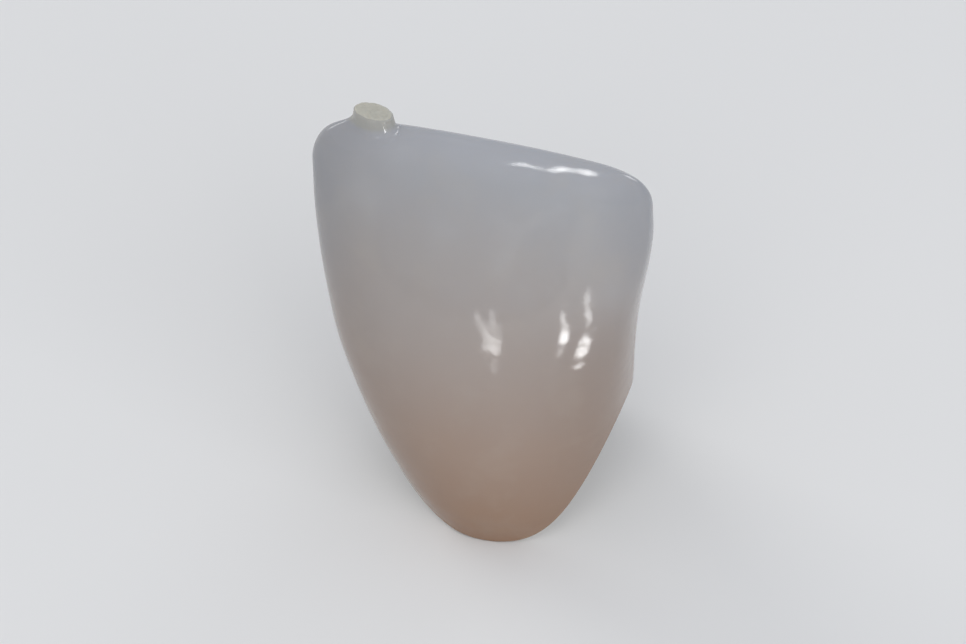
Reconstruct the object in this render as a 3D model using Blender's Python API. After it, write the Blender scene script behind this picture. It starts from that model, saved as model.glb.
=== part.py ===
"""One-piece ceramic crown for an upper left lateral incisor, with its biting edge up.

+Z runs from the margin to the incisal edge. -Y is the labial side, which faces the lip, and +Y is
the lingual side. +X is mesial, towards the midline of the mouth, and -X is distal. The origin is the
middle of the neck, level with the lowest point of the labial margin.

The crown is one closed surface of rings: down the outside from the incisal edge, round the thin
scalloped margin, and up the inside of the hollow that takes the prepared tooth. The stub that the
milling connector leaves on the incisal edge is joined to it.
"""

import math

import bmesh
import bpy

MM = 0.001

# Outer form
CROWN_HEIGHT = 9.3 * MM  # lowest point of the labial margin to the highest point of the incisal edge
CROWN_WIDTH = 7.3 * MM  # across the mesial and distal contact areas
LABIAL_REACH = 2.95 * MM  # middle of the neck to the fullest point of the labial face
CINGULUM_REACH = 2.75 * MM  # middle of the neck to the fullest point of the cingulum
CROWN_LEAN = 0.44 * MM  # the contact areas are centred this far distal of the neck

# Incisal edge
INCISAL_THICKNESS = 1.00 * MM  # where the edge starts to round over
INCISAL_SETBACK = 0.42 * MM  # the edge lies this far labial of the middle of the neck
INCISAL_DROP = 0.27 * MM  # the mesial end of the edge is this much lower than the distal end
INCISAL_ARCH = 0.12 * MM  # the middle of the edge is this much higher than its ends
INCISAL_ROUND = 0.45 * MM  # height over which the middle of the edge rounds over
MESIAL_CORNER = 0.83 * MM
DISTAL_CORNER = 1.10 * MM

# Margin
MESIAL_RISE = 2.75 * MM
DISTAL_RISE = 2.60 * MM
LINGUAL_RISE = 0.60 * MM
MARGIN_ROUND = 0.07 * MM
CHAMFER_WIDTH = 0.42 * MM
CHAMFER_HEIGHT = 0.45 * MM

# Relief
LOBE_DEPTH = 0.07 * MM  # the two shallow furrows between the three labial lobes
MARGINAL_RIDGE = 0.46 * MM  # the mesial and distal ridges that frame the lingual fossa
FOSSA_DEPTH = 0.16 * MM  # the dish between them, above the cingulum

# Hollow for the prepared tooth
INCISAL_COVER = 2.20 * MM  # ceramic between the hollow and the incisal edge
HOLLOW_TOP_LENGTH = 4.30 * MM
HOLLOW_TOP_THICKNESS = 0.84 * MM
HOLLOW_TOP_SETBACK = 0.62 * MM

# Stub of the milling connector
STUB_WIDTH = 1.00 * MM
STUB_DEPTH = 0.66 * MM
STUB_HEIGHT = 0.41 * MM
STUB_SLANT = 0.10 * MM  # the mesial side of its cut top is this much lower
STUB_FROM_CONTACT = 1.38 * MM  # the stub's axis, from the distal contact
STUB_BEVEL = 0.09 * MM
STUB_ROOT = 0.60 * MM  # how deep the stub is set into the crown
STUB_TAPER_RATIO = 0.84  # its top, as a share of its foot

# Profiles: pairs of a height, as a share of the crown's height, and a share of the size that they shape
MESIAL_SHARES = [(0, 0.68), (0.25, 0.778), (0.52, 0.875), (0.83, 1), (1, 1)]
DISTAL_SHARES = [(0, 0.6), (0.25, 0.79), (0.5, 0.935), (0.8, 1), (1, 1)]
LABIAL_SHARES = [(0, 0.86), (0.11, 0.965), (0.22, 1), (0.4, 0.925), (0.6, 0.67), (0.8, 0.29), (0.95, 0)]
LINGUAL_SHARES = [(0, 0.88), (0.12, 1), (0.28, 0.81), (0.46, 0.42), (0.64, 0.2), (0.8, 0.1), (0.95, 0)]

# How full each side's outline is, seen from above: 2 is an ellipse, and more is squarer
LABIAL_BOW_SHARES = [(0, 1.97), (0.4, 2.4), (0.8, 2.6)]
LINGUAL_BOW_SHARES = [(0, 2.0), (0.3, 1.9), (0.8, 2.6)]
HOLLOW_POWER = 2.5

# Shapes of single features. Places across are shares of the half width, and heights as above
LABIAL_SCALLOP_POWER = 3.3  # powers that shape the margin's rise towards the neighbouring teeth
LINGUAL_SCALLOP_POWER = 2.4
CORNER_POWER = 5
FURROW_PLACE_SHARE = 0.36
FURROW_SPREAD_SHARE = 0.15
FURROW_HEIGHT_SHARES = (0.3, 0.75)  # where the furrows fade in, and where they reach their depth
RIDGE_PLACE_SHARES = [(0.3, 0.6), (0.85, 0.82)]  # the ridges run together towards the cingulum
RIDGE_SPREAD_SHARE = 0.16
RIDGE_HEIGHT_SHARE = 0.58
RIDGE_LENGTH_SHARE = 0.26
FOSSA_SPREAD_SHARE = 0.45
FOSSA_HEIGHT_SHARE = 0.56
FOSSA_LENGTH_SHARE = 0.17
KNEE_FACTOR = 0.75  # how squarely a wall rounds over: 0 is a flat cut and 1 or more a fuller bend
LABIAL_BELLY_FACTOR = 0.45  # how far the hollow's labial wall bows out from a straight taper
LINGUAL_HOLLOW_FACTOR = 0.52  # how far its lingual wall follows the fossa inward

RING_POINT_COUNT = 64  # an even number
OUTER_RING_COUNT = 28
EDGE_RING_COUNT = 6
LIP_RING_COUNT = 3
CHAMFER_RING_COUNT = 4
HOLLOW_RING_COUNT = 18
ROOF_RING_COUNT = 4


def eased(profile, share):
    """Value of a profile at a share of the height, on a smooth curve that never overshoots."""
    share = min(max(share, profile[0][0]), profile[-1][0])
    slopes = [(b[1] - a[1]) / (b[0] - a[0]) for a, b in zip(profile, profile[1:])]
    tangents = [slopes[0]]
    for before, after in zip(slopes, slopes[1:]):
        turning = before * after <= 0
        tangents.append(0.0 if turning else 2 * before * after / (before + after))
    tangents.append(slopes[-1])
    span = next(i for i in range(len(slopes)) if share <= profile[i + 1][0])
    (start, low), (end, high) = profile[span], profile[span + 1]
    length = end - start
    t = (share - start) / length
    return (
        low * (1 + 2 * t) * (1 - t) ** 2
        + high * t * t * (3 - 2 * t)
        + tangents[span] * length * t * (1 - t) ** 2
        - tangents[span + 1] * length * t * t * (1 - t)
    )


def blend(low, high, share):
    return low + (high - low) * share


def smooth(low, high, value):
    """0 below `low`, 1 above `high`, and an even ease between them."""
    t = min(max((value - low) / (high - low), 0.0), 1.0)
    return t * t * (3 - 2 * t)


def leaned(share):
    """How much of the lean is reached at a share of the height, most of it near the neck."""
    return 1 - (1 - share) ** 3


def hump(value, middle, reach):
    return math.exp(-(((value - middle) / reach) ** 2))


def outer_point(height, turn):
    """Point of the outer form at a height. `turn` is 0 at mesial and a quarter turn at lingual."""
    share = height / CROWN_HEIGHT
    across = math.cos(turn)
    half_width = CROWN_WIDTH / 2 * eased(MESIAL_SHARES if across > 0 else DISTAL_SHARES, share)
    x = half_width * across - CROWN_LEAN * leaned(share)
    widest = -INCISAL_SETBACK * smooth(0, 1, share)
    if math.sin(turn) > 0:
        edge = INCISAL_THICKNESS / 2 - INCISAL_SETBACK
        face = edge + (CINGULUM_REACH - edge) * eased(LINGUAL_SHARES, share)
        fullness = eased(LINGUAL_BOW_SHARES, share)
        bow = (1 - abs(across) ** fullness) ** (1 / fullness)
        ridge = MARGINAL_RIDGE * hump(abs(across), eased(RIDGE_PLACE_SHARES, share), RIDGE_SPREAD_SHARE)
        ridge *= hump(share, RIDGE_HEIGHT_SHARE, RIDGE_LENGTH_SHARE)
        fossa = FOSSA_DEPTH * hump(across, 0, FOSSA_SPREAD_SHARE)
        fossa *= hump(share, FOSSA_HEIGHT_SHARE, FOSSA_LENGTH_SHARE)
        return x, widest + (face - widest + ridge - fossa) * bow, height
    edge = INCISAL_THICKNESS / 2 + INCISAL_SETBACK
    face = edge + (LABIAL_REACH - edge) * eased(LABIAL_SHARES, share)
    fullness = eased(LABIAL_BOW_SHARES, share)
    bow = (1 - abs(across) ** fullness) ** (1 / fullness)
    furrow = LOBE_DEPTH * hump(abs(across), FURROW_PLACE_SHARE, FURROW_SPREAD_SHARE)
    furrow *= smooth(*FURROW_HEIGHT_SHARES, share)
    return x, widest - (face + widest) * bow + furrow, height


def margin_height(turn):
    """Height of the scalloped margin: low at the labial and lingual sides and high between the teeth."""
    across = math.cos(turn)
    rise = MESIAL_RISE if across > 0 else DISTAL_RISE
    if math.sin(turn) > 0:
        return blend(LINGUAL_RISE, rise, abs(across) ** LINGUAL_SCALLOP_POWER)
    return rise * abs(across) ** LABIAL_SCALLOP_POWER


def incisal_height(x):
    """Height of the incisal edge at a plan position."""
    along = (x + CROWN_LEAN) / (CROWN_WIDTH / 2)
    return CROWN_HEIGHT - INCISAL_DROP * (1 + along) / 2 - INCISAL_ARCH * along**2


def turns():
    return [2 * math.pi * k / RING_POINT_COUNT for k in range(RING_POINT_COUNT)]


def round_over(below, ring, crest, steps):
    """Rings that carry a wall over to a crest line in one rounded bend, tangent to the wall."""
    rings = []
    for j in range(1, steps + 1):
        t = j / steps
        pulls = ((1 - t) ** 2, 2 * KNEE_FACTOR * t * (1 - t), t * t)
        total = sum(pulls)
        bent = []
        for low, start, end in zip(below, ring, crest):
            run = (end[2] - start[2]) / (start[2] - low[2])
            knee = (start[0] + (start[0] - low[0]) * run, start[1] + (start[1] - low[1]) * run, end[2])
            bent.append(tuple(
                (pulls[0] * a + pulls[1] * b + pulls[2] * c) / total
                for a, b, c in zip(start, knee, end)
            ))
        rings.append(bent)
    return rings


def outer_rings():
    """Rings from just above the margin up the outside and over to the crest of the incisal edge."""
    tops = []
    crest = []
    for turn in turns():
        across = math.cos(turn)
        corner = MESIAL_CORNER if across > 0 else DISTAL_CORNER
        x = outer_point(CROWN_HEIGHT, turn)[0] - corner * across
        crest_height = incisal_height(x)
        crest.append((x, -INCISAL_SETBACK, crest_height))
        tops.append(crest_height - blend(INCISAL_ROUND, corner, abs(across) ** CORNER_POWER))
    rings = []
    for j in range(OUTER_RING_COUNT + 1):
        share = j / OUTER_RING_COUNT
        rings.append([
            outer_point(blend(margin_height(turn) + MARGIN_ROUND, top, share), turn)
            for turn, top in zip(turns(), tops)
        ])
    return rings + round_over(rings[-2], rings[-1], crest, EDGE_RING_COUNT)


def inset(ring, distance, height):
    """A copy of a ring, moved inward in plan by a distance and up by a height."""
    moved = []
    for k, (x, y, z) in enumerate(ring):
        before = ring[k - 1]
        after = ring[(k + 1) % len(ring)]
        run_x = after[0] - before[0]
        run_y = after[1] - before[1]
        length = math.hypot(run_x, run_y)
        moved.append((x - distance * run_y / length, y + distance * run_x / length, z + height))
    return moved


def margin_rings(lowest):
    """The rounded edge of the margin, then the underside that seats on the stump's chamfer."""
    rings = []
    for j in range(1, LIP_RING_COUNT + 1):
        roll = math.pi / 2 * j / LIP_RING_COUNT
        rings.append(inset(lowest, MARGIN_ROUND * (1 - math.cos(roll)), -MARGIN_ROUND * math.sin(roll)))
    for j in range(1, CHAMFER_RING_COUNT + 1):
        roll = math.pi / 2 * j / CHAMFER_RING_COUNT
        inward = MARGIN_ROUND + (CHAMFER_WIDTH - MARGIN_ROUND) * math.sin(roll)
        rings.append(inset(lowest, inward, CHAMFER_HEIGHT * (1 - math.cos(roll)) - MARGIN_ROUND))
    return rings


def hollow_rings(foot):
    """Rings up the inside of the hollow, which narrows all the way so that it slides off the stump."""
    roof = CROWN_HEIGHT - INCISAL_COVER
    lean = CROWN_LEAN * leaned(roof / CROWN_HEIGHT)
    tops = []
    crest = []
    for turn in turns():
        across = math.cos(turn)
        side = 1 if math.sin(turn) > 0 else -1
        bow = side * (1 - abs(across) ** HOLLOW_POWER) ** (1 / HOLLOW_POWER)
        x = HOLLOW_TOP_LENGTH / 2 * across - lean
        crest_height = roof - INCISAL_DROP * (1 + across) / 2
        tops.append((x, HOLLOW_TOP_THICKNESS / 2 * bow - HOLLOW_TOP_SETBACK,
                     crest_height - HOLLOW_TOP_THICKNESS / 2))
        crest.append((x - HOLLOW_TOP_THICKNESS / 2 * across, -HOLLOW_TOP_SETBACK, crest_height))
    rings = []
    for j in range(1, HOLLOW_RING_COUNT + 1):
        share = j / HOLLOW_RING_COUNT
        ring = []
        for turn, start, end in zip(turns(), foot, tops):
            lingual = math.sin(turn)
            bend = 1 + LABIAL_BELLY_FACTOR * max(-lingual, 0.0) - LINGUAL_HOLLOW_FACTOR * max(lingual, 0.0)
            ring.append((blend(start[0], end[0], share), blend(start[1], end[1], share**bend),
                         blend(start[2], end[2], share)))
        rings.append(ring)
    return rings + round_over(rings[-2], rings[-1], crest, ROOF_RING_COUNT)


def skin(rings):
    """A closed mesh over rings. The first and last rings are flat and close on a line."""
    half = RING_POINT_COUNT // 2
    shell = bmesh.new()
    rows = []
    for ring in rings:
        if ring is rings[0] or ring is rings[-1]:
            line = [shell.verts.new(point) for point in ring[: half + 1]]
            rows.append([line[min(k, RING_POINT_COUNT - k)] for k in range(RING_POINT_COUNT)])
        else:
            rows.append([shell.verts.new(point) for point in ring])
    for upper, lower in zip(rows, rows[1:]):
        for k in range(RING_POINT_COUNT):
            after = (k + 1) % RING_POINT_COUNT
            shell.faces.new((upper[k], upper[after], lower[after], lower[k]))
    bmesh.ops.recalc_face_normals(shell, faces=shell.faces)
    return shell


def add_object(name, shape, collection):
    mesh = bpy.data.meshes.new(name)
    shape.to_mesh(mesh)
    shape.free()
    added = bpy.data.objects.new(name, mesh)
    collection.objects.link(added)
    return added


def connector_stub():
    """The stub where the connector was cut off: a bevelled oval post that stands out of the edge."""
    post = bmesh.new()
    bmesh.ops.create_cone(
        post, cap_ends=True, segments=20, radius1=STUB_WIDTH / 2,
        radius2=STUB_WIDTH / 2 * STUB_TAPER_RATIO, depth=STUB_HEIGHT + STUB_ROOT,
    )
    bmesh.ops.scale(post, vec=(1, STUB_DEPTH / STUB_WIDTH, 1), verts=post.verts)
    for corner in post.verts:
        if corner.co.z > 0:
            corner.co.z -= STUB_SLANT * (1 + corner.co.x / (STUB_WIDTH / 2 * STUB_TAPER_RATIO)) / 2
    x = STUB_FROM_CONTACT - CROWN_WIDTH / 2 - CROWN_LEAN
    middle = incisal_height(x) + (STUB_HEIGHT - STUB_ROOT) / 2
    bmesh.ops.translate(post, vec=(x, -INCISAL_SETBACK, middle), verts=post.verts)
    rim = [edge for edge in post.edges if min(v.co.z for v in edge.verts) > middle]
    bmesh.ops.bevel(post, geom=rim, offset=STUB_BEVEL, segments=2, affect="EDGES", profile=0.5)
    return post


def glazed_zirconia():
    material = bpy.data.materials.new("glazed_zirconia")
    material.use_nodes = True
    surface = material.node_tree.nodes["Principled BSDF"]
    surface.inputs["Base Color"].default_value = (0.62, 0.60, 0.57, 1.0)
    surface.inputs["Roughness"].default_value = 0.14
    surface.inputs["Metallic"].default_value = 0.0
    return material


def build():
    for old in list(bpy.data.objects):
        bpy.data.objects.remove(old, do_unlink=True)
    parts = bpy.data.collections.new("dental_crown")
    tools = bpy.data.collections.new("joining_shapes")
    bpy.context.scene.collection.children.link(parts)
    bpy.context.scene.collection.children.link(tools)

    outside = outer_rings()
    margin = margin_rings(outside[0])
    hollow = hollow_rings(margin[-1])
    crown = add_object("crown", skin(outside[::-1] + margin + hollow), parts)
    crown.data.materials.append(glazed_zirconia())

    stub = add_object("stub_post", connector_stub(), tools)
    stub.hide_render = True
    stub.display_type = "WIRE"
    join = crown.modifiers.new("join_stub", "BOOLEAN")
    join.operation = "UNION"
    join.solver = "EXACT"
    join.object = stub

    crown.data.shade_smooth()
    crown.data.set_sharp_from_angle(angle=math.radians(50))


build()
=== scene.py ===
# %% [markdown]
# # A glazed ceramic crown
#
# A crown is a cap that covers a prepared tooth. This one stands for an upper left lateral incisor.
# It was milled from a block of zirconia, fired, and glazed, so it is a single piece: a smooth glassy
# outside, a thin scalloped margin, and a matt hollow where the tooth goes. The solid model is already
# fixed. This script lays a fine surface over it, gives each face its finish, and lights it.

# %% Open the fixed model
import math

import bmesh
import bpy
import numpy as np
from mathutils import Matrix, Vector, noise
from mathutils.bvhtree import BVHTree
from mathutils.interpolate import poly_3d_calc


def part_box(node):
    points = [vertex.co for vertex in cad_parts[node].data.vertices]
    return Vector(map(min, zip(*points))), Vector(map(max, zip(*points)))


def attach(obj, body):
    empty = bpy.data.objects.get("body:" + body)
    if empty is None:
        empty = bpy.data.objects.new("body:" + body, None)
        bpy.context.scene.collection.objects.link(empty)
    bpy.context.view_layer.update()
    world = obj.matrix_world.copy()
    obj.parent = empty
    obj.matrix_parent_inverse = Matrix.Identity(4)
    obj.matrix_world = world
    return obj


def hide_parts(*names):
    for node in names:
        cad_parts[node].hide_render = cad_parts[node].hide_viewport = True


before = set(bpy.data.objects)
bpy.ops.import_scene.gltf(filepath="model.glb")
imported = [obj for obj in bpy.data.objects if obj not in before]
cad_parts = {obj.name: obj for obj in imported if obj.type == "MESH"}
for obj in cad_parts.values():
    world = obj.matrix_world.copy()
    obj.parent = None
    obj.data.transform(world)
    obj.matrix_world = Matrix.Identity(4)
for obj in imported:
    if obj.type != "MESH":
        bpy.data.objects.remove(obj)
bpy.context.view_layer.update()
low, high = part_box("crown")
MM = 0.001
print("solid model, mm:", [round(side / MM, 2) for side in high - low])

# %% [markdown]
# ## The form in numbers
#
# A tooth has no straight lines, but few numbers describe it: how tall, how wide at the contacts, how
# far the lip side and the tongue side bulge, and how the margin rises between the teeth. The width and
# the two bulges come from the fixed model's own box. The rest are plain sizes in millimetres.
# A surface could also be sculpted by hand, but a rule can be made finer without changing the form.

# %% Sizes of the crown
crown_width = high.x - low.x
labial_reach = -low.y
cingulum_reach = high.y
crown_height = 9.3 * MM
crown_lean = 0.44 * MM

incisal_thickness = 1.0 * MM
incisal_setback = 0.42 * MM
incisal_drop = 0.27 * MM
incisal_arch = 0.12 * MM
incisal_round = 0.45 * MM
mesial_corner = 0.83 * MM
distal_corner = 1.10 * MM

mesial_rise = 2.75 * MM
distal_rise = 2.60 * MM
lingual_rise = 0.60 * MM
margin_round = 0.07 * MM
chamfer_width = 0.42 * MM
chamfer_height = 0.45 * MM

lobe_depth = 0.03 * MM
marginal_ridge = 0.46 * MM
fossa_depth = 0.16 * MM

incisal_cover = 2.20 * MM
hollow_top_length = 4.30 * MM
hollow_top_thickness = 0.84 * MM
hollow_top_setback = 0.62 * MM
print("crown width, mm:", round(crown_width / MM, 2))

# %% [markdown]
# ## Profiles
#
# A profile says how a size changes on the way up. It is a short list of pairs, a share of the height
# and a share of the size, and a smooth curve runs through them. A plain spline would swing past its
# points and make bumps, so the curve's slopes are held back wherever it could overshoot. The places of
# the ridges, the hollow between them and the furrows are shares as well: how far out, how broad, how
# high up and over how much of the height.

# %% Profiles and the curve through them
MESIAL_SHARES = [(0, 0.68), (0.25, 0.778), (0.52, 0.875), (0.83, 1), (1, 1)]
DISTAL_SHARES = [(0, 0.6), (0.25, 0.79), (0.5, 0.935), (0.8, 1), (1, 1)]
LABIAL_SHARES = [(0, 0.86), (0.11, 0.965), (0.22, 1), (0.4, 0.925), (0.6, 0.67), (0.8, 0.29), (0.95, 0)]
LINGUAL_SHARES = [(0, 0.88), (0.12, 1), (0.28, 0.81), (0.46, 0.42), (0.64, 0.2), (0.8, 0.1), (0.95, 0)]
LABIAL_BOW_SHARES = [(0, 1.97), (0.4, 2.4), (0.8, 2.6)]
LINGUAL_BOW_SHARES = [(0, 2.0), (0.3, 1.9), (0.8, 2.6)]
RIDGE_PLACE_SHARES = [(0.3, 0.6), (0.85, 0.82)]

RIDGE_BREADTH, RIDGE_MIDDLE, RIDGE_SPAN = 0.16, 0.58, 0.26
FOSSA_BREADTH, FOSSA_MIDDLE, FOSSA_SPAN = 0.45, 0.56, 0.17
FURROW_PLACE, FURROW_BREADTH = 0.36, 0.15
FURROW_START, FURROW_FULL = 0.3, 0.75
LINGUAL_MARGIN_POWER, LABIAL_MARGIN_POWER = 2.4, 3.3


def eased(profile, share):
    """Values of a profile at shares of the height, on a smooth curve that never overshoots."""
    places, values = (np.array(column, float) for column in zip(*profile))
    share = np.clip(share, places[0], places[-1])
    slopes = np.diff(values) / np.diff(places)
    before, after = slopes[:-1], slopes[1:]
    same_way = before * after > 0
    inner = np.where(same_way, 2 * before * after / np.where(same_way, before + after, 1), 0)
    tangents = np.concatenate(([slopes[0]], inner, [slopes[-1]]))
    span = np.clip(np.searchsorted(places, share) - 1, 0, len(slopes) - 1)
    length = places[span + 1] - places[span]
    t = (share - places[span]) / length
    return (
        values[span] * (1 + 2 * t) * (1 - t) ** 2
        + values[span + 1] * t * t * (3 - 2 * t)
        + tangents[span] * length * t * (1 - t) ** 2
        - tangents[span + 1] * length * t * t * (1 - t)
    )


def blend(start, end, share):
    """The value that share of the way from start to end."""
    return start + (end - start) * share


def smooth(start, end, value):
    """0 before start, 1 after end, and eased between."""
    t = np.clip((value - start) / (end - start), 0, 1)
    return t * t * (3 - 2 * t)


def hump(value, middle, reach):
    """1 in the middle, falling off evenly on both sides."""
    return np.exp(-(((value - middle) / reach) ** 2))


half_width = float(eased(MESIAL_SHARES, 0.5)) * crown_width / 2
print("half width at mid height, mm:", round(half_width / MM, 2))

# %% [markdown]
# ## The outside
#
# Each ring goes once round the crown, from mesial (towards the middle of the mouth) by the tongue side
# to distal and back by the lip side. Its outline is an ellipse with a power that can be raised to make
# it squarer. The lip side carries two faint furrows between three lobes. The tongue side is scooped,
# between a mesial and a distal ridge. Stacked rings are a loft, which suits a form whose outline
# changes all the way up.

# %% Rings of the outside
ROUND = 256
turn = np.arange(ROUND) * 2 * math.pi / ROUND
across = np.cos(turn)
mesial_side = across > 0
lingual_side = np.sin(turn) > 0


def bowed(power):
    """Half of the outline, flatter and squarer with a higher power."""
    return (1 - np.abs(across) ** power) ** (1 / power)


def outer_ring(height):
    """One ring of the outside. `height` gives a height for each point of the ring."""
    share = height / crown_height
    widths = np.where(mesial_side, eased(MESIAL_SHARES, share), eased(DISTAL_SHARES, share))
    x = crown_width / 2 * widths * across - crown_lean * (1 - (1 - share) ** 3)
    widest = -incisal_setback * smooth(0, 1, share)

    edge = incisal_thickness / 2 - incisal_setback
    lingual = edge + (cingulum_reach - edge) * eased(LINGUAL_SHARES, share)
    ridge = marginal_ridge * hump(np.abs(across), eased(RIDGE_PLACE_SHARES, share), RIDGE_BREADTH)
    ridge = ridge * hump(share, RIDGE_MIDDLE, RIDGE_SPAN)
    fossa = fossa_depth * hump(across, 0, FOSSA_BREADTH) * hump(share, FOSSA_MIDDLE, FOSSA_SPAN)
    lingual_y = widest + (lingual - widest + ridge - fossa) * bowed(eased(LINGUAL_BOW_SHARES, share))

    edge = incisal_thickness / 2 + incisal_setback
    labial = edge + (labial_reach - edge) * eased(LABIAL_SHARES, share)
    furrow = lobe_depth * hump(np.abs(across), FURROW_PLACE, FURROW_BREADTH)
    furrow = furrow * smooth(FURROW_START, FURROW_FULL, share)
    labial_y = widest - (labial + widest) * bowed(eased(LABIAL_BOW_SHARES, share)) + furrow

    return np.stack([x, np.where(lingual_side, lingual_y, labial_y), height], axis=-1)


def margin_height():
    """The margin's height all the way round: it rises between the teeth."""
    rise = np.where(mesial_side, mesial_rise, distal_rise)
    lingual = blend(lingual_rise, rise, np.abs(across) ** LINGUAL_MARGIN_POWER)
    labial = rise * np.abs(across) ** LABIAL_MARGIN_POWER
    return np.where(lingual_side, lingual, labial)


def incisal_height(x):
    """The biting edge's height at a place across: it slants and arches."""
    along = (x + crown_lean) / (crown_width / 2)
    return crown_height - incisal_drop * (1 + along) / 2 - incisal_arch * along**2


print("margin height at mesial, mm:", round(float(margin_height()[0]) / MM, 2))

# %% [markdown]
# ## The biting edge
#
# The walls roll over to a crest line. A flat top with a bevel would show two hard lines in the glaze,
# so each wall is carried over in one bend that starts along the wall and ends level: a curve with
# three control points, the middle one pulling it outward. With twice the pull of an end point it would
# be a plain parabola; a little less makes the bend rounder.

# %% Roll the walls over
KNEE_PULL = 1.5
CORNER_POWER = 5


def rolled_over(below, ring, crest, steps):
    """Rings from a wall's last ring over to its crest, tangent to the wall."""
    run = (crest[:, 2] - ring[:, 2]) / (ring[:, 2] - below[:, 2])
    knee = ring + (ring - below) * run[:, None]
    rings = []
    for t in np.arange(1, steps + 1) / steps:
        pulls = np.array([(1 - t) ** 2, KNEE_PULL * t * (1 - t), t * t])
        rings.append((pulls[0] * ring + pulls[1] * knee + pulls[2] * crest) / pulls.sum())
    return rings


def outside_rings(wall_steps=168, edge_steps=24):
    """Rings from the margin up to the crest of the biting edge."""
    corner = np.where(mesial_side, mesial_corner, distal_corner)
    at_top = outer_ring(np.full(ROUND, crown_height))
    crest_x = at_top[:, 0] - corner * across
    crest = np.stack([crest_x, np.full(ROUND, -incisal_setback), incisal_height(crest_x)], axis=-1)
    top = crest[:, 2] - blend(incisal_round, corner, np.abs(across) ** CORNER_POWER)
    foot = margin_height() + margin_round
    walls = [outer_ring(blend(foot, top, step / wall_steps)) for step in range(wall_steps + 1)]
    return walls + rolled_over(walls[-2], walls[-1], crest, edge_steps)


outside = outside_rings()
print("rings outside:", len(outside), "of", ROUND, "points")

# %% [markdown]
# ## Life in the surface
#
# Under its glaze a hand-finished crown is never quite even. Faint ridges run down the lip side, finer
# ripples cross the neck, and the rest is very slightly uneven. None is deeper than about a hundredth
# of a millimetre, but they are what makes a reflection waver. They could be bump in the finish, but
# real relief also bends the reflection at a glancing angle, so here the points move.

# %% Relief of the outside
RIDGE_RELIEF, RIDGE_LENGTH, RIDGE_BEAT = 0.010 * MM, 0.62 * MM, 1.45 * MM
RIPPLE_RELIEF, RIPPLE_LENGTH = 0.0010 * MM, 0.34 * MM
UNEVEN_RELIEF, UNEVEN_LENGTH = 0.007 * MM, 1.3 * MM
FOOT_FADE = 0.35 * MM


def grid_normals(rings):
    """Which way is outward at each point of the rings."""
    along = np.gradient(rings, axis=0)
    around = np.roll(rings, -1, axis=1) - np.roll(rings, 1, axis=1)
    normals = np.cross(around, along)
    length = np.linalg.norm(normals, axis=-1, keepdims=True)
    return normals / np.maximum(length, 1e-15)


def relief(rings):
    """How far each point of the outside moves along its normal."""
    x, _, z = np.moveaxis(rings, -1, 0)
    share = z / crown_height
    ridges = np.sin(x / RIDGE_LENGTH + 1.7 * np.sin(share * 2.6) + 0.5) * np.sin(x / RIDGE_BEAT + 1.1)
    ripples = np.sin(z / RIPPLE_LENGTH * 2 * math.pi + 0.8 * np.sin(x / MM))
    ripples = ripples * (1 - smooth(0.35, 0.7, share))
    uneven = np.array([[noise.noise(Vector(point) / UNEVEN_LENGTH) for point in ring] for ring in rings])
    edge_fade = 1 - smooth(0.9, 0.98, share)
    foot_fade = smooth(0, FOOT_FADE, z - margin_height() - margin_round)
    fade = edge_fade * foot_fade
    return (RIDGE_RELIEF * ridges + RIPPLE_RELIEF * ripples + UNEVEN_RELIEF * uneven) * fade


outside = np.array(outside)
moved = relief(outside)
outside = outside + grid_normals(outside) * moved[..., None]
print("relief, um:", round(float(moved.min()) / MM * 1000), round(float(moved.max()) / MM * 1000))

# %% [markdown]
# ## The margin and the hollow
#
# The crown's lower edge is thin and slightly rounded, and its underside curves in and up to seat on
# the ledge ground round the tooth. From there the hollow's walls lean in all the way to a narrow roof,
# so that the crown can slide off again. On the way up the walls bend, outward on the lip side and
# inward on the tongue side, to follow the outside and keep the wall even. A Boolean cut would leave a
# ragged edge just where the fit matters, so the rings simply carry on round the margin and up inside.

# %% Rings of the margin and the hollow
LIP_STEPS = 6
CHAMFER_STEPS = 12
ROOF_BOW = 2.5
LABIAL_BEND, LINGUAL_BEND = 0.45, 0.52


def inset(ring, distance, height):
    """A ring moved inward in plan and up."""
    run = np.roll(ring, -1, axis=0) - np.roll(ring, 1, axis=0)
    length = np.hypot(run[:, 0], run[:, 1])
    step = np.stack([-run[:, 1] / length, run[:, 0] / length, np.zeros(ROUND)], axis=-1)
    return ring + distance * step + np.array([0, 0, height])


def margin_rings(lowest):
    """Rings round the rounded lip and up the chamfer."""
    rings = []
    for roll in np.arange(1, LIP_STEPS + 1) / LIP_STEPS * math.pi / 2:
        rings.append(inset(lowest, margin_round * (1 - math.cos(roll)), -margin_round * math.sin(roll)))
    for roll in np.arange(1, CHAMFER_STEPS + 1) / CHAMFER_STEPS * math.pi / 2:
        inward = margin_round + (chamfer_width - margin_round) * math.sin(roll)
        rings.append(inset(lowest, inward, chamfer_height * (1 - math.cos(roll)) - margin_round))
    return rings


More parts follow.
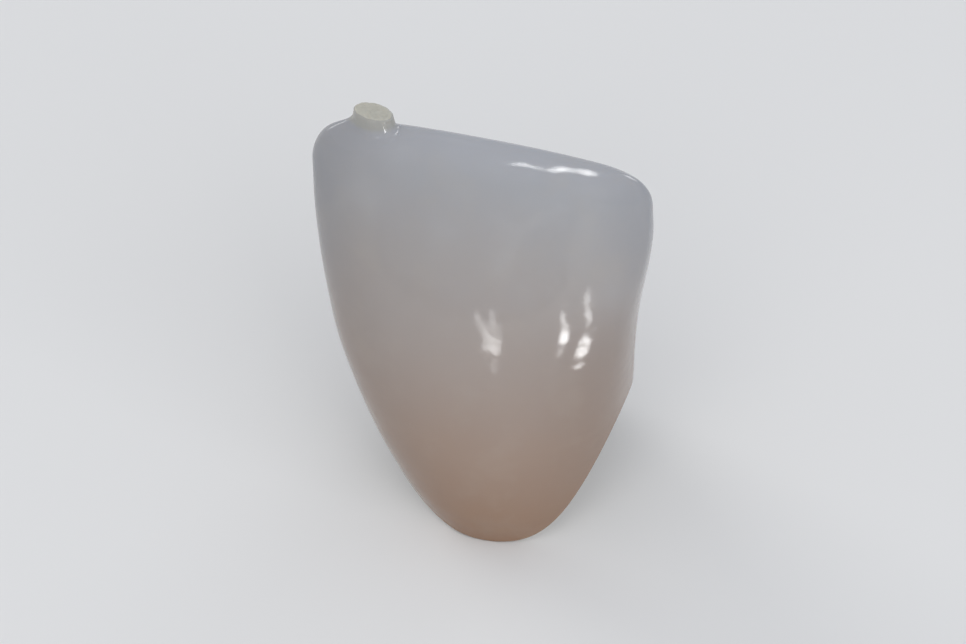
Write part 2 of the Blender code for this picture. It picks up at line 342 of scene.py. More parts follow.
def hollow_rings(foot, wall_steps=60, roof_steps=12):
    """Rings up the hollow's walls and over to the crest of its roof."""
    roof = crown_height - incisal_cover
    lean = crown_lean * (1 - (incisal_cover / crown_height) ** 3)
    x = hollow_top_length / 2 * across - lean
    side = np.where(lingual_side, 1, -1)
    y = hollow_top_thickness / 2 * side * bowed(ROOF_BOW) - hollow_top_setback
    crest_z = roof - incisal_drop * (1 + across) / 2
    top = np.stack([x, y, crest_z - hollow_top_thickness / 2], axis=-1)
    crest_y = np.full(ROUND, -hollow_top_setback)
    crest = np.stack([x - hollow_top_thickness / 2 * across, crest_y, crest_z], axis=-1)
    lingual = np.sin(turn)
    bend = 1 + LABIAL_BEND * np.maximum(-lingual, 0) - LINGUAL_BEND * np.maximum(lingual, 0)
    walls = []
    for share in np.arange(1, wall_steps + 1) / wall_steps:
        ring = blend(foot, top, share)
        ring[:, 1] = blend(foot[:, 1], top[:, 1], share**bend)
        walls.append(ring)
    return walls + rolled_over(walls[-2], walls[-1], crest, roof_steps)


margin = margin_rings(outside[0])
hollow = hollow_rings(margin[-1])
print("rings inside:", len(margin) + len(hollow))

# %% [markdown]
# ## One closed skin
#
# The rings become one surface: four-sided faces between neighbouring rings, and at both ends the last
# ring is flat, so its two sides share their points along a line. Faces made this way are all evenly
# shaped, which a glossy finish needs. The faces of the hollow get their own finish, by its number.


# %% Skin the rings
def skin_mesh(name, rings, slot_of_row):
    """A closed mesh over rings whose first and last ring are lines. Rows of faces take their slots."""
    count = len(rings)
    index = np.arange(count * ROUND).reshape(count, ROUND)
    fold = np.minimum(np.arange(ROUND), (ROUND - np.arange(ROUND)) % ROUND)
    index[0] = index[0][fold]
    index[-1] = index[-1][fold]
    upper, lower = index[:-1], index[1:]
    quads = np.stack([upper, lower, np.roll(lower, -1, axis=1), np.roll(upper, -1, axis=1)], axis=-1)
    quads = quads.reshape(-1, 4)
    used, renumbered = np.unique(quads, return_inverse=True)
    points = np.array(rings).reshape(-1, 3)[used]
    faces = renumbered.reshape(-1, 4)
    mesh = bpy.data.meshes.new(name)
    mesh.from_pydata(points.tolist(), [], faces.tolist())
    slots = np.repeat([slot_of_row(row) for row in range(count - 1)], ROUND)
    mesh.polygons.foreach_set("material_index", slots.astype(np.int32))
    mesh.update()
    print(name, "points:", len(points), "faces:", len(faces))
    return mesh


GLAZED, BLASTED, CUT = 0, 1, 2
all_rings = [*outside[::-1], *margin, *hollow]
first_inside = len(outside) + LIP_STEPS
crown_mesh = skin_mesh("crown_surface", all_rings, lambda row: BLASTED if row >= first_inside else GLAZED)

# %% [markdown]
# ## The connector's stub
#
# In the block, thin bars hold the crown while it is milled. One of them joined it at the distal end of
# the biting edge, and after it was cut off a low stub stayed. It is an oval post with a slanting cut
# top, and it grows out of the edge in a fillet, which rises higher and runs out much further on the
# distal side. A plain cylinder pushed into the crown would leave a hard crease. So the rings of the
# fillet are found by looking down on the crown: the first lies on its surface, and the next ones stand
# on it higher and higher, up to the flank. Round the first a skirt dips just under the surface, so
# that the two bodies cross cleanly. A Boolean union then makes them one.

# %% Stub sizes
STUB_WIDTH = 1.00 * MM
STUB_DEPTH = 0.66 * MM
STUB_HEIGHT = 0.41 * MM
STUB_FROM_CONTACT = 1.38 * MM
STUB_BEVEL = 0.07 * MM
STUB_ROOT = 0.60 * MM
STUB_FILLET = 0.12 * MM
STUB_SLANT = 0.10 * MM
STUB_DISTAL_RISE, STUB_DISTAL_RUN = 1.2, 3.2
STUB_ROOT_SIZE, STUB_FOOT_SIZE, STUB_TOP_SIZE = 0.8, 0.93, 0.84
SKIRT_SINK = 0.02 * MM
APRON_LIFT = 0.001 * MM

STUB_STEPS = 120
FILLET_STEPS, FLANK_STEPS, BEVEL_STEPS, FACE_STEPS = 10, 11, 7, 14
stub_x = STUB_FROM_CONTACT - crown_width / 2 - crown_lean
stub_top = incisal_height(stub_x) + STUB_HEIGHT
stub_turn = np.arange(STUB_STEPS) * 2 * math.pi / STUB_STEPS
stub_oval = np.stack([STUB_WIDTH / 2 * np.cos(stub_turn), STUB_DEPTH / 2 * np.sin(stub_turn)], axis=-1)
stub_middle = np.array([stub_x, -incisal_setback])
print("stub top, mm:", round(stub_top / MM, 2), "box top, mm:", round(high.z / MM, 2))


# %% Rings of the stub
def stub_ring(size, height, outward=0.0):
    """An oval of the post at a height, which may differ from point to point."""
    plan = stub_middle + stub_oval * size
    plan = plan + stub_oval / np.linalg.norm(stub_oval, axis=-1, keepdims=True) * outward
    return np.column_stack([plan, np.broadcast_to(height, STUB_STEPS)])


def dropped_on(surface, ring, above=0.0):
    """The ring let down straight on to a surface."""
    landed = ring.copy()
    for point, lift in zip(landed, np.broadcast_to(above, len(ring))):
        found = surface.ray_cast(Vector((point[0], point[1], high.z + MM)), Vector((0, 0, -1)))[0]
        point[2] = found.z + lift
    return landed


def stub_rings(surface):
    """Rings from the stub's root inside the crown to the middle of its cut face."""
    towards_distal = np.maximum(-np.cos(stub_turn), 0)[:, None] ** 2
    rise = STUB_FILLET * (1 + STUB_DISTAL_RISE * towards_distal)
    run = STUB_FILLET * (1 + STUB_DISTAL_RUN * towards_distal)
    apron = stub_ring(STUB_FOOT_SIZE, 0, run)
    skirt = dropped_on(surface, stub_ring(STUB_FOOT_SIZE, 0, run + SKIRT_SINK), -SKIRT_SINK)
    foot = stub_ring(STUB_FOOT_SIZE, 0)
    flank = stub_ring(blend(STUB_FOOT_SIZE, STUB_TOP_SIZE, rise / STUB_HEIGHT), 0)
    cut = stub_top - STUB_SLANT * (1 + np.cos(stub_turn)) / 2
    shoulder = stub_ring(STUB_TOP_SIZE, cut - STUB_BEVEL)
    rings = [stub_ring(STUB_ROOT_SIZE, stub_top - STUB_HEIGHT - STUB_ROOT), skirt]
    for t in np.linspace(0, 1, FILLET_STEPS + 1):
        inward = (1 - t) ** 2 * apron + 2 * t * (1 - t) * foot + t * t * flank
        rings.append(dropped_on(surface, inward, APRON_LIFT + rise[:, 0] * t * t))
    rings += [blend(rings[-1], shoulder, share) for share in np.linspace(0, 1, FLANK_STEPS + 1)[1:]]
    for roll in np.linspace(0, math.pi / 2, BEVEL_STEPS + 1)[1:]:
        height = cut - STUB_BEVEL * (1 - math.sin(roll))
        rings.append(stub_ring(STUB_TOP_SIZE, height, STUB_BEVEL * (math.cos(roll) - 1)))
    for share in np.linspace(1, 0, FACE_STEPS + 1)[1:-1]:
        slant = STUB_SLANT * (1 + share * np.cos(stub_turn)) / 2
        rings.append(stub_ring(STUB_TOP_SIZE * share, stub_top - slant, -STUB_BEVEL * share))
    return rings


# %% [markdown]
# A cut ceramic face is not smooth: the disc leaves it slightly torn. Rings above the fillet are moved
# by noise that grows up the flank, and the faces from the middle of the bevel on take the material of
# the cut. Blender draws this kind of noise anew each time it starts, unless it gets a seed, so a seed
# keeps the pattern the same in every run.

# %% Make the stub
TEAR_SEED = 5
TEAR_DEPTH = 0.012 * MM
TEAR_LENGTH, FINE_TEAR_LENGTH = 0.13 * MM, 0.05 * MM
FIRST_TORN_RING, TEAR_GROWTH = 14, 10
FIRST_CUT_RING = 27


def torn(point, depth):
    """The point moved by noise in two sizes."""
    coarse, fine = (noise.noise_vector(point / length) for length in (TEAR_LENGTH, FINE_TEAR_LENGTH))
    return point + depth * (coarse + 0.5 * fine)


def stub_mesh(surface):
    """The stub as a closed mesh, glazed below and cut on top."""
    noise.seed_set(TEAR_SEED)
    post = bmesh.new()
    rows = []
    for number, ring in enumerate(stub_rings(surface)):
        depth = TEAR_DEPTH * min(max((number - FIRST_TORN_RING) / TEAR_GROWTH, 0), 1)
        rows.append([post.verts.new(torn(Vector(point), depth)) for point in ring])
    tip = post.verts.new((stub_x, -incisal_setback, stub_top - STUB_SLANT / 2))
    for number, (lower, upper) in enumerate(zip(rows, rows[1:])):
        for k in range(STUB_STEPS):
            after = (k + 1) % STUB_STEPS
            face = post.faces.new((lower[k], lower[after], upper[after], upper[k]))
            face.material_index = CUT if number >= FIRST_CUT_RING else GLAZED
    for k in range(STUB_STEPS):
        face = post.faces.new((rows[-1][k], rows[-1][(k + 1) % STUB_STEPS], tip))
        face.material_index = CUT
    post.faces.new(rows[0][::-1])
    mesh = bpy.data.meshes.new("stub_surface")
    post.to_mesh(mesh)
    post.free()
    return mesh


def search_tree(mesh):
    """A mesh's faces, sorted for finding where a ray lands on them."""
    points = [vertex.co for vertex in mesh.vertices]
    return BVHTree.FromPolygons(points, [tuple(face.vertices) for face in mesh.polygons])


stub = bpy.data.objects.new("stub_tool", stub_mesh(search_tree(crown_mesh)))
bpy.context.scene.collection.objects.link(stub)
print("stub faces:", len(stub.data.polygons))

# %% [markdown]
# ## Writing finishes as sums
#
# A finish is a small circuit of nodes. Wired by hand it is hard to read, so two helpers do the wiring.
# A Wire stands for one socket, and sums and products of wires add their Math nodes. A Finish holds one
# material, and its `node` method adds any other node: first the settings, then the sockets. Its other
# methods are short names for the nodes that these finishes use most.


# %% Wire and Finish
class Wire:
    """A socket that can be used in arithmetic."""

    def __init__(self, finish, socket):
        self.finish = finish
        self.socket = socket

    def math(self, operation, *values):
        sockets = dict(enumerate(values))
        return self.finish.node("ShaderNodeMath", {"operation": operation}, sockets)

    def __add__(self, other):
        return self.math("ADD", self, other)

    def __radd__(self, other):
        return self.math("ADD", other, self)

    def __sub__(self, other):
        return self.math("SUBTRACT", self, other)

    def __rsub__(self, other):
        return self.math("SUBTRACT", other, self)

    def __mul__(self, other):
        return self.math("MULTIPLY", self, other)

    def __rmul__(self, other):
        return self.math("MULTIPLY", other, self)

    def __truediv__(self, other):
        return self.math("DIVIDE", self, other)

    def __rtruediv__(self, other):
        return self.math("DIVIDE", other, self)

    def __abs__(self):
        return self.math("ABSOLUTE", self)


class Finish:
    """One material and the nodes that make it."""

    def __init__(self, name):
        self.material = bpy.data.materials.new(name)
        self.material.use_nodes = True
        self.tree = self.material.node_tree
        self.surface = self.tree.nodes["Principled BSDF"]

    def node(self, kind, settings=None, sockets=None, output=0):
        """Adds a node of a kind, with its settings and its sockets' values or wires."""
        added = self.tree.nodes.new(kind)
        for name, value in (settings or {}).items():
            if name == "stops":
                ramp = added.color_ramp.elements
                while len(ramp) < len(value):
                    ramp.new(0.5)
                for stop, (place, colour) in zip(ramp, value):
                    stop.position = place
                    stop.color = colour
            else:
                setattr(added, name, value)
        for name, value in (sockets or {}).items():
            self.connect(added.inputs[name], value)
        return Wire(self, added.outputs[output])

    def connect(self, socket, value):
        if isinstance(value, Wire):
            self.tree.links.new(value.socket, socket)
        else:
            socket.default_value = value

    def mix(self, share, start, end):
        """Mixes two colours, which are the Mix node's sockets 6, 7 and 2."""
        return self.node("ShaderNodeMix", {"data_type": "RGBA"}, {0: share, 6: start, 7: end}, 2)

    def fade(self, value, start, end):
        """0 at `start`, 1 at `end`, and eased between."""
        sockets = {"Value": value, "From Min": start, "From Max": end}
        return self.node("ShaderNodeMapRange", {"interpolation_type": "SMOOTHSTEP"}, sockets)

    def cloud(self, place, scale, detail):
        """Soft noise between 0 and 1, with `scale` waves for each unit of place."""
        sockets = {"Vector": place, "Scale": scale, "Detail": detail}
        return self.node("ShaderNodeTexNoise", None, sockets)

    def level_lines(self, place, scale, **others):
        """Wavering level lines, between 0 and 1. The other sockets' names have _ for a space."""
        settings = {"wave_type": "BANDS", "bands_direction": "Z", "wave_profile": "SIN"}
        sockets = {name.replace("_", " "): value for name, value in others.items()}
        return self.node("ShaderNodeTexWave", settings, {"Vector": place, "Scale": scale, **sockets}, "Fac")

    def bump(self, height):
        """Normals bent as if the surface had this height, in metres."""
        return self.node("ShaderNodeBump", None, {"Strength": 1.0, "Distance": 1.0, "Height": height})

    def set(self, **sockets):
        """Sets the surface's sockets, whose names have _ for a space."""
        for name, value in sockets.items():
            self.connect(self.surface.inputs[name.replace("_", " ")], value)


def tone(red, green, blue):
    """A colour from screen values of 0 to 255."""
    screen = np.array([red, green, blue]) / 255
    linear = np.where(screen <= 0.04045, screen / 12.92, ((screen + 0.055) / 1.055) ** 2.4)
    return (*linear.tolist(), 1.0)


print("mid grey is", round(tone(188, 188, 188)[0], 3))

# %% [markdown]
# ## The glaze
#
# Zirconia for the front of the mouth is coloured in layers before it is fired. The neck is warm and
# rather opaque, the middle is a quiet grey, and towards the biting edge it turns cooler and lets light
# in. The neck's warmth is only partly its own colour: the rest is painted warm reflected light. Then
# the whole outside gets a coat of glass. So the finish is a glossy surface over a body that scatters
# some light, which softens its shadows. Height gives the colour. It could be painted on by hand, but
# the height of a point is known exactly, and it needs no unwrapping.

# %% Places on the crown, in mm
def place_in_mm(finish):
    """The point's place as a vector in millimetres."""
    place = finish.node("ShaderNodeTexCoord", output="Object")
    return finish.node("ShaderNodeVectorMath", {"operation": "SCALE"}, {0: place, "Scale": 1 / MM})


glaze = Finish("glazed_zirconia_outside")
spot = place_in_mm(glaze)
x_mm, z_mm = (glaze.node("ShaderNodeSeparateXYZ", None, {0: spot}, axis) for axis in "XZ")
height_share = z_mm / (crown_height / MM)
print("glaze works in mm over", round(crown_height / MM, 1), "mm of height")

# %% Colour by height
neck_to_edge = [
    (0.00, tone(143, 113, 90)),
    (0.10, tone(148, 121, 101)),
    (0.30, tone(155, 135, 121)),
    (0.52, tone(158, 147, 140)),
    (0.75, tone(161, 157, 155)),
    (0.92, tone(161, 162, 165)),
    (1.00, tone(164, 166, 171)),
]
drift = (glaze.cloud(spot, 0.35, 2.0) - 0.5) * 0.10
# The ramp holds the real layers and, at the neck, painted warm reflected light.
layers_and_painted_reflection = glaze.node("ShaderNodeValToRGB", {"stops": neck_to_edge}, {"Fac": height_share + drift})
print("layers from neck to edge:", len(neck_to_edge))

# %% [markdown]
# Within a layer the colour still drifts a little, as the stain was brushed on. The distal half is painted
# darker towards its side, a painted shade where it turns from the light, and the mesial half lower down
# gets a warm painted shade too. Near the edge both sides, where the walls are thin, look cooler and
# darker than the middle, with a few faint pale patches. The stub was never stained, so it shows the
# yellower ceramic.

# %% Stains, painted shade and side zones
middle_mm = height_share * -(crown_lean / MM)
towards_mesial = (x_mm - middle_mm) / (crown_width / 2 / MM)
# Painted shade: the distal half darkens towards its side, where it turns from the light.
distal_painted_shade = glaze.fade(towards_mesial, 0.0, -0.95)
with_painted_shade = glaze.mix(distal_painted_shade * 0.28, layers_and_painted_reflection, tone(122, 116, 112))
# Painted shade: lower down, the mesial half turns darker and warmer.
mesial_low_painted_shade = glaze.fade(towards_mesial, 0.1, 0.95) * glaze.fade(height_share, 0.72, 0.5)
with_painted_shade = glaze.mix(mesial_low_painted_shade * 0.36, with_painted_shade, tone(122, 106, 95))
side_zone = glaze.fade(abs(towards_mesial), 0.62, 1.0) * glaze.fade(height_share, 0.45, 0.85)
cooler = glaze.mix(side_zone * 0.5, with_painted_shade, tone(138, 141, 147))
brushed = glaze.cloud(spot, 1.1, 4.0)
stained = glaze.mix(glaze.fade(brushed, 0.48, 0.75) * 0.10, cooler, tone(175, 166, 153))
pale_lobes = glaze.fade(glaze.cloud(spot, 0.7, 1.0), 0.5, 0.8) * glaze.fade(height_share, 0.5, 0.8)
lobed = glaze.mix(pale_lobes * 0.12, stained, tone(181, 181, 183))
on_stub = glaze.fade(z_mm, 9.18, 9.34)
body_colour = glaze.mix(on_stub * 0.7, lobed, tone(155, 154, 145))
print("stain nodes so far:", len(glaze.tree.nodes))

# %% [markdown]
# The last tenth of a millimetre of glaze has a fine skin like orange peel, and faint growth lines that
# the technician carved cross the neck. They are far too fine for points, so a Bump node bends the
# normals instead. A separate clear coat would mirror more sharply, but it would lie smooth over the
# bump, and a real glaze waves with its skin. So the glassy surface itself gets the low roughness. How
# the ceramic bends and scatters light is the same for all three finishes.

# %% Skin of the glaze
CERAMIC = {"IOR": 1.52, "Subsurface_Radius": (1.0, 0.85, 0.7), "Subsurface_Scale": 0.45 * MM}
PEEL_HEIGHT = 0.0025
GROWTH_HEIGHT = 0.0008
peel = glaze.cloud(spot, 2.6, 1.5)
growth = glaze.level_lines(spot, 1.1, Distortion=1.6, Detail=2.0, Detail_Scale=0.6)
growth_zone = 1 - glaze.fade(height_share, 0.25, 0.65)
glaze.set(
    Base_Color=body_colour,
    Roughness=0.04 + glaze.cloud(spot, 1.7, 4.0) * 0.05 + growth_zone * 0.03,
    Normal=glaze.bump(peel * PEEL_HEIGHT * MM + growth * growth_zone * GROWTH_HEIGHT * MM),
    Subsurface_Weight=0.35,
    **CERAMIC,
)
print("glaze nodes:", len(glaze.tree.nodes))

# %% [markdown]
# ## The hollow and the cut
#
# Inside there is no glaze. The hollow was blasted with fine grit so that cement holds, which leaves it
# chalky, and the milling cutter's steps still show faintly on its walls. The stub's cut face is the
# same ceramic, torn by the disc. Both are dull, so they get a rough surface and some bump.

# %% Finish of the hollow
blasted = Finish("blasted_zirconia_hollow")
spot = place_in_mm(blasted)
GRIT_HEIGHT = 0.010
STEP_HEIGHT = 0.003
grit = blasted.cloud(spot, 22.0, 4.0)
patches = blasted.cloud(spot, 0.8, 3.0)
cutter_steps = blasted.level_lines(spot, 2.2, Distortion=0.5, Detail=1.0, Detail_Scale=1.0)
blasted.set(
    Base_Color=blasted.mix(patches, tone(196, 190, 180), tone(210, 205, 196)),
    Roughness=0.62 + grit * 0.2,
    Normal=blasted.bump(grit * GRIT_HEIGHT * MM + cutter_steps * STEP_HEIGHT * MM),
    Subsurface_Weight=0.25,
    **CERAMIC,
)
print("hollow nodes:", len(blasted.tree.nodes))

# %% Finish of the cut face
cut_face = Finish("cut_zirconia_stub")
FINE_TEAR_HEIGHT = 0.02
fine_tears = cut_face.cloud(place_in_mm(cut_face), 14.0, 5.0)
cut_face.set(
    Base_Color=cut_face.mix(fine_tears, tone(158, 156, 146), tone(186, 184, 172)),
    Roughness=0.5 + fine_tears * 0.3,
    Normal=cut_face.bump(fine_tears * FINE_TEAR_HEIGHT * MM),
    Subsurface_Weight=0.25,
    **CERAMIC,
)
print("cut nodes:", len(cut_face.tree.nodes))

# %% [markdown]
# ## Joining the two
#
# The union needs both meshes to list the three finishes in the same order, since faces keep their
# numbers. The exact solver is slower than the fast one but never leaves a gap. Afterwards the skin is
# shaded smooth, with sharp edges only where it truly turns.

# %% Join the stub to the crown
finishes = [glaze.material, blasted.material, cut_face.material]
for mesh in (crown_mesh, stub.data):
    for material in finishes:
        mesh.materials.append(material)


def joined(name, mesh, tool):
    """A new object: the mesh united with the tool, which goes away."""
    body = bpy.data.objects.new(name, mesh)
    bpy.context.scene.collection.objects.link(body)
    union = body.modifiers.new("union", "BOOLEAN")
    union.operation = "UNION"
    union.solver = "EXACT"
    union.object = tool
    bpy.context.view_layer.update()
    whole = body.evaluated_get(bpy.context.evaluated_depsgraph_get())
    body.data = bpy.data.meshes.new_from_object(whole)
    body.modifiers.clear()
    bpy.data.objects.remove(tool)
    return body


crown = joined("crown_surface", crown_mesh, stub)
crown.data.shade_smooth()
SHARP_ANGLE = math.radians(40)
crown.data.set_sharp_from_angle(angle=SHARP_ANGLE)
print("crown faces:", len(crown.data.polygons), "finishes:", [m.name for m in crown.data.materials])

# %% [markdown]
# ## One body
#
# The crown is one rigid piece, so the whole surface rides on the one body and stands in for the
# solid crown.

# %% Tie it to the model
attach(crown, "root")
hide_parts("crown")
corners = np.array([vertex.co for vertex in crown.data.vertices])
low_gap, high_gap = corners.min(axis=0) - np.array(low), corners.max(axis=0) - np.array(high)
print("um from the solid's low corner:", np.round(low_gap / MM * 1000))
print("um from the solid's high corner:", np.round(high_gap / MM * 1000))

# %% [markdown]
# ## A pale table
#
# The floor is only there to hold a shadow and to give the glaze something pale to mirror. It is very
# wide, so that no edge of it shows, and clear from below, so that the crown can be looked at from
# there. It lies a hair under the crown, because two faces at the same height would flicker. A pale sky
# all round gives most of the soft light.

# %% Floor and sky
FLOOR_REACH = 2.0
FLOOR_GAP = 0.004 * MM
floor_corners = [(x * FLOOR_REACH, y * FLOOR_REACH, 0) for x, y in ((-1, -1), (1, -1), (1, 1), (-1, 1))]
floor_mesh = bpy.data.meshes.new("floor")
floor_mesh.from_pydata(floor_corners, [], [(0, 1, 2, 3)])
floor = bpy.data.objects.new("floor", floor_mesh)
bpy.context.scene.collection.objects.link(floor)
floor.location.z = -FLOOR_GAP

table_top = Finish("table_top")
table_top.set(Base_Color=tone(222, 222, 221), Roughness=0.85, Specular_IOR_Level=0.0)
from_below = table_top.node("ShaderNodeNewGeometry", output="Backfacing")
pale = Wire(table_top, table_top.surface.outputs["BSDF"])
clear = table_top.node("ShaderNodeBsdfTransparent")
one_sided = table_top.node("ShaderNodeMixShader", None, {0: from_below, 1: pale, 2: clear})
table_top.tree.links.new(one_sided.socket, table_top.tree.nodes["Material Output"].inputs["Surface"])
floor_mesh.materials.append(table_top.material)

SKY_STRENGTH = 0.67
sky = bpy.data.worlds.new("studio")
bpy.context.scene.world = sky
sky.use_nodes = True
sky_glow = sky.node_tree.nodes["Background"]
sky_glow.inputs["Color"].default_value = tone(236, 240, 248)
sky_glow.inputs["Strength"].default_value = SKY_STRENGTH
print("floor, m across:", 2 * FLOOR_REACH, "sky strength:", SKY_STRENGTH)

# %% [markdown]
# ## The camera
#
# It stands where the photograph's stood: a little towards the mesial side, well above the biting edge,
# and rolled by about two degrees. A long lens from far away keeps the perspective weak, as it is in a
# close-up of teeth. The aim is moved until the crown's outline lies in the middle of the frame, which
# a few rounds settle.

# %% Camera
AZIMUTH = math.radians(18)
ELEVATION = math.radians(42)
ROLL = math.radians(2.35)
FRAME_HEIGHT = 13.6 * MM
IMAGE_WIDTH, IMAGE_HEIGHT = 966, 644
AIM_ROUNDS = 4

back = Vector((
    math.sin(AZIMUTH) * math.cos(ELEVATION), -math.cos(AZIMUTH) * math.cos(ELEVATION), math.sin(ELEVATION)
))
right = Vector((math.cos(AZIMUTH), math.sin(AZIMUTH), 0))
up = back.cross(right)
right, up = right * math.cos(ROLL) - up * math.sin(ROLL), right * math.sin(ROLL) + up * math.cos(ROLL)

lens = bpy.data.cameras.new("long_lens")
lens.lens = 200
lens.clip_start = 1 * MM
lens.clip_end = 10
camera = bpy.data.objects.new("camera", lens)
bpy.context.scene.collection.objects.link(camera)
bpy.context.scene.camera = camera
distance = FRAME_HEIGHT * IMAGE_WIDTH / IMAGE_HEIGHT * lens.lens / lens.sensor_width
turned = Matrix((right, up, back)).transposed()
aim = Vector((0, 0, crown_height / 2))
for _ in range(AIM_ROUNDS):
    seen = (corners - np.array(aim)) @ np.array(turned)
    seen = seen[:, :2] / (1 - seen[:, 2:] / distance)
    middle = (seen.min(axis=0) + seen.max(axis=0)) / 2
    aim = aim + right * middle[0] + up * middle[1]
camera.matrix_world = Matrix.Translation(aim + back * distance) @ turned.to_4x4()
height_seen = float(np.ptp(seen[:, 1])) / FRAME_HEIGHT
print("camera distance, mm:", round(distance / MM), "frame height filled:", round(height_seen, 2))

# %% [markdown]
# ## The light
#
# Diffuse light shows the form and mirrored light shows the gloss, so each gets its own sources. Wide
# soft lamps far away light the form, but the glaze doesn't mirror them, or they would lie on it as big
# pale patches. What the glaze does mirror comes after them.


# %% Studio lamps
crown_middle = Vector((0, 0, crown_height / 2))


def studio_lamp(name, place_mm, size_mm, radiance, colour):
    """A square lamp aimed at the crown, which lights it but doesn't show in the glaze."""
    place = Vector(place_mm) * MM
    light = bpy.data.lights.new(name, "AREA")
    light.size = size_mm * MM
    light.energy = radiance * light.size**2 * math.pi
    light.color = tone(*colour)[:3]
    holder = bpy.data.objects.new(name, light)
    bpy.context.scene.collection.objects.link(holder)
    holder.location = place
    holder.rotation_mode = "QUATERNION"
    holder.rotation_quaternion = (place - crown_middle).to_track_quat("Z", "Y")
    holder.visible_camera = False
    holder.visible_glossy = False


studio_lamp("wide_upper", (20, -150, 160), 170, 1.58, (255, 251, 246))
studio_lamp("wide_right", (150, -110, 110), 150, 1.7, (250, 251, 255))
studio_lamp("wide_back_left", (-175, 100, 80), 110, 3.5, (255, 253, 250))
studio_lamp("back_fill", (60, 150, 95), 90, 0.8, (255, 255, 255))

# %% [markdown]
# ## Cards that only the glaze sees
#
# The glaze mirrors glowing cards that light nothing and that no camera sees. A card glows most in its
# middle and fades to clear at its edges, so its image is soft. Two big ones, behind and beside the
# crown, show as windows in the gloss of its back and side. An area lamp would do, but its image has a
# hard edge.

# %% Glowing cards
FULL_GLOW = 26
card_glow = Finish("card_glow")
card_glow.set(
    Base_Color=tone(0, 0, 0),
    Specular_IOR_Level=0.0,
    Emission_Color=tone(255, 255, 255),
    Emission_Strength=FULL_GLOW,
    Alpha=card_glow.node("ShaderNodeAttribute", {"attribute_name": "glow"}, output="Fac"),
)


def glowing_card(name, points, glows, rows):
    """A card from rows of points, each of which glows a share of the full glow."""
    index = np.arange(len(points)).reshape(rows, -1)
    corners_of_face = [index[:-1, :-1], index[:-1, 1:], index[1:, 1:], index[1:, :-1]]
    faces = np.stack(corners_of_face, axis=-1).reshape(-1, 4)
    mesh = bpy.data.meshes.new(name)
    mesh.from_pydata([tuple(point) for point in points], [], faces.tolist())
    mesh.attributes.new("glow", "FLOAT", "POINT").data.foreach_set("value", glows)
    mesh.materials.append(card_glow.material)
    card = bpy.data.objects.new(name, mesh)
    bpy.context.scene.collection.objects.link(card)
    card.visible_camera = card.visible_diffuse = card.visible_shadow = False
    print(name, "lowest point, mm:", round(min(point.z for point in points) / MM, 1))


def soft_window(name, place_mm, size_mm, glow, steps=9):
    """A card aimed at the crown, with soft edges."""
    place = Vector(place_mm) * MM
    facing = (place - crown_middle).to_track_quat("Z", "Y")
    points = []
    glows = []
    for v in np.linspace(-1, 1, steps):
        for u in np.linspace(-1, 1, steps):
            points.append(place + facing @ Vector((u * size_mm[0] / 2, v * size_mm[1] / 2, 0)) * MM)
            glows.append(glow * (1 - u**2) * (1 - v**2))
    glowing_card(name, points, glows, steps)


soft_window("window_back", (60, 150, 95), (90, 110), 0.22)
soft_window("window_side", (-190, 20, 105), (60, 110), 0.20)

# %% [markdown]
# ## Streaks in the glaze
#
# The short bright marks on the lip side are bright things in the studio, seen as in a curved mirror.
# What has to stand where is found backwards: a line of sight goes from the camera to the wanted mark,
# bounces off the crown there, and a card goes on the bounced line. Doing it all across a mark gives the
# card its whole shape. A rectangle would do for a flat mirror, but on a tooth its image comes out bent.


# %% Cards for the streaks
CARD_SIDES = (-1, -0.5, 0, 0.5, 1)
outside_tree = search_tree(crown.data)
eye = camera.matrix_world.translation


def bounced(point, away):
    """The place on a line of sight through a point, `away` behind its bounce off the crown."""
    sight = (point - eye).normalized()
    landed, _, face, _ = outside_tree.ray_cast(eye, sight)
    around = [crown.data.vertices[k] for k in crown.data.polygons[face].vertices]
    shares = poly_3d_calc([vertex.co for vertex in around], landed)
    normal = sum((vertex.normal * share for vertex, share in zip(around, shares)), Vector())
    return landed + sight.reflect(normal.normalized()) * away


def streak(name, away_mm, marks, steps=25):
    """A card whose mirror image runs along marks on the lip side: their x, z, width in mm and glow."""
    along = np.linspace(0, len(marks) - 1, steps)
    x, z, width, glow = (np.interp(along, range(len(marks)), column) for column in zip(*marks))
    starts = [Vector((place, -1, height)) for place, height in zip(x * MM, z * MM)]
    line = [outside_tree.ray_cast(start, Vector((0, 1, 0)))[0] for start in starts]
    flat = np.array([(point.dot(right), point.dot(up)) for point in line])
    run = np.gradient(flat, axis=0)
    run /= np.linalg.norm(run, axis=1, keepdims=True)
    points = []
    glows = []
    for point, (run_right, run_up), reach_out, peak in zip(line, run, width / 2 * MM, glow):
        for side in CARD_SIDES:
            sideways = (up * run_right - right * run_up) * reach_out * side
            points.append(bounced(point + sideways, away_mm * MM))
            glows.append(peak * (1 - side**2))
    glowing_card(name, points, glows, steps)


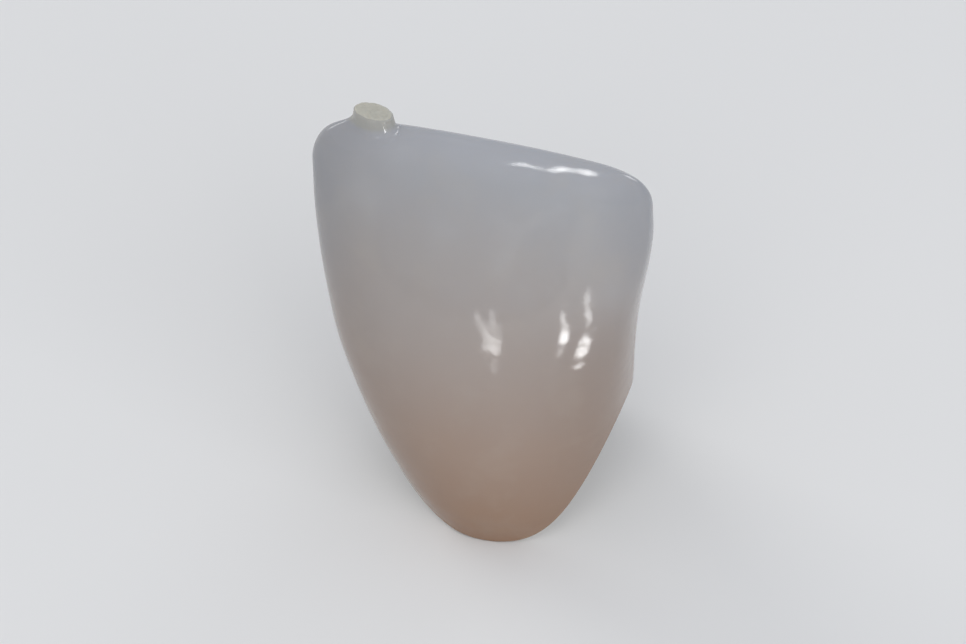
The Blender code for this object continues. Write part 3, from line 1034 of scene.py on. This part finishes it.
# %% The marks of each streak
streak("middle_left", 20, [
    (-0.14, 6.10, 0.11, 0.00), (-0.10, 5.95, 0.21, 0.20), (-0.03, 5.83, 0.21, 0.11),
    (0.10, 5.63, 0.21, 0.13), (0.20, 5.44, 0.23, 0.34), (0.31, 5.34, 0.26, 0.66),
    (0.41, 5.26, 0.21, 0.34), (0.45, 5.20, 0.09, 0.00),
])
streak("middle_right", 20, [
    (0.19, 6.18, 0.09, 0.00), (0.22, 6.06, 0.16, 0.13), (0.26, 5.87, 0.18, 0.09), (0.31, 5.68, 0.14, 0.00),
])
streak("middle_haze", 20, [
    (0.12, 5.98, 0.26, 0.00), (0.20, 5.80, 0.53, 0.09), (0.28, 5.56, 0.53, 0.11), (0.36, 5.34, 0.26, 0.00),
])
streak("middle_tail", 20, [
    (0.29, 5.02, 0.09, 0.00), (0.34, 4.89, 0.19, 0.14), (0.39, 4.76, 0.09, 0.00),
])
streak("middle_bar", 20, [
    (-0.10, 7.22, 0.16, 0.00), (0.08, 7.24, 0.24, 0.04), (0.48, 7.29, 0.24, 0.04), (0.66, 7.31, 0.16, 0.00),
])
streak("mesial_left", 9, [
    (1.63, 6.30, 0.07, 0.00), (1.67, 6.10, 0.16, 0.32), (1.70, 5.94, 0.16, 0.30), (1.74, 5.82, 0.18, 0.34),
    (1.73, 5.66, 0.25, 0.90), (1.72, 5.56, 0.22, 0.75), (1.69, 5.44, 0.09, 0.00),
])
streak("mesial_right_top", 9, [
    (2.10, 6.69, 0.07, 0.00), (2.13, 6.51, 0.18, 0.32), (2.14, 6.34, 0.14, 0.20), (2.17, 6.10, 0.19, 0.34),
    (2.18, 5.93, 0.16, 0.26), (2.14, 5.76, 0.07, 0.00),
])
streak("mesial_right", 9, [
    (2.16, 5.72, 0.09, 0.00), (2.14, 5.58, 0.22, 0.34), (2.12, 5.42, 0.32, 0.80), (2.10, 5.31, 0.28, 0.66),
    (2.07, 5.20, 0.18, 0.32), (2.05, 5.08, 0.07, 0.00),
])
streak("edge", 25, [
    (0.92, 8.98, 0.05, 0.00), (1.06, 8.99, 0.11, 0.30), (1.22, 9.00, 0.12, 0.40), (1.36, 9.02, 0.17, 0.70),
    (1.51, 9.02, 0.12, 0.40), (1.70, 9.01, 0.10, 0.20), (1.90, 9.00, 0.17, 0.66), (2.01, 8.99, 0.12, 0.44),
    (2.12, 8.97, 0.05, 0.00),
])

# %% Look
bpy.context.scene.view_settings.view_transform = "Standard"
